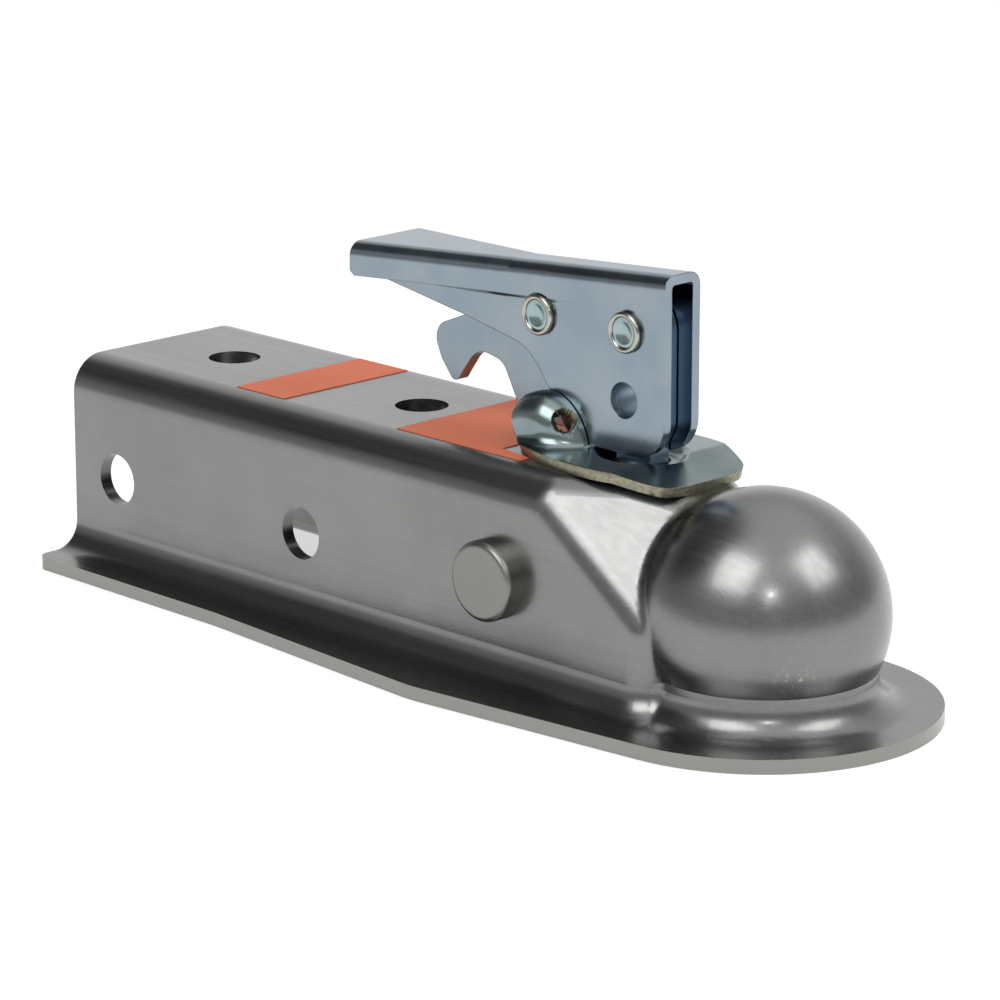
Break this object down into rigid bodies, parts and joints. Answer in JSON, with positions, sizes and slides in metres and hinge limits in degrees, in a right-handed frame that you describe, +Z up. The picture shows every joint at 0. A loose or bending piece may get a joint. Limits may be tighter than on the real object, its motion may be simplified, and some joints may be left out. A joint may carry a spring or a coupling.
{
  "type": "trailer coupling head",
  "caption": "Pressed steel ball coupling for a straight trailer tongue, with a folded latch lever, trigger catch, draw bolt and a pivoting ball clamp.",
  "frame": {"origin": "centre of the tow ball that the socket holds", "axes": "+X towards the nose, +Z up, the lever lies along -X"},
  "size_m": [0.2505, 0.0984, 0.099],
  "materials": {
    "body_zinc": "satin grey plated pressing",
    "latch_zinc": "bright zinc plate",
    "rivet_zinc": "bright zinc plate",
    "clamp_steel": "dull plated forging",
    "spring_steel": "drawn wire",
    "label_paper": "matt printed film, left plain"
  },
  "bodies": {
    "frame": {"coupler_body": "body_zinc", "saddle_plate": "latch_zinc", "label_rear": "label_paper", "label_front": "label_paper", "clamp_pin": "body_zinc", "pin_washer": "body_zinc", "clamp_spring": "spring_steel"},
    "jaw": {"ball_clamp": "clamp_steel"},
    "bolt": {"draw_bolt": "latch_zinc", "rocker_washer": "clamp_steel", "adjusting_nut": "clamp_steel"},
    "lever": {"lever_handle": "latch_zinc", "pivot_rivet": "rivet_zinc", "trigger_rivet": "rivet_zinc", "trigger_bush_near": "rivet_zinc", "trigger_bush_far": "rivet_zinc", "trigger_spring": "spring_steel"},
    "trigger": {"trigger": "latch_zinc"}
  },
  "joints": [
    {"name": "bolt_lift", "type": "slide", "parent": "frame", "child": "bolt", "axis": [0, 0, -1], "range_m": [0, 0.0048]},
    {"name": "lever_swing", "type": "hinge", "parent": "bolt", "child": "lever", "pos_m": [-0.0383, 0, 0.06], "axis": [0, 1, 0], "range_deg": [0, 105]},
    {"name": "jaw_swing", "type": "hinge", "parent": "frame", "child": "jaw", "pos_m": [-0.0575, 0, 0.0023], "axis": [0, 1, 0], "range_deg": [0, 14.01]},
    {"name": "trigger_pull", "type": "hinge", "parent": "lever", "child": "trigger", "pos_m": [-0.0663, 0, 0.0595], "axis": [0, 1, 0], "range_deg": [0, 12], "stiffness_Nm_per_rad": 0.05, "springref_deg": -17.19}
  ],
  "couplings": [
    {"joint": "bolt_lift", "follows": "lever_swing", "m_per_rad": 0.00261},
    {"joint": "jaw_swing", "follows": "lever_swing", "ratio": 0.13333}
  ]
}
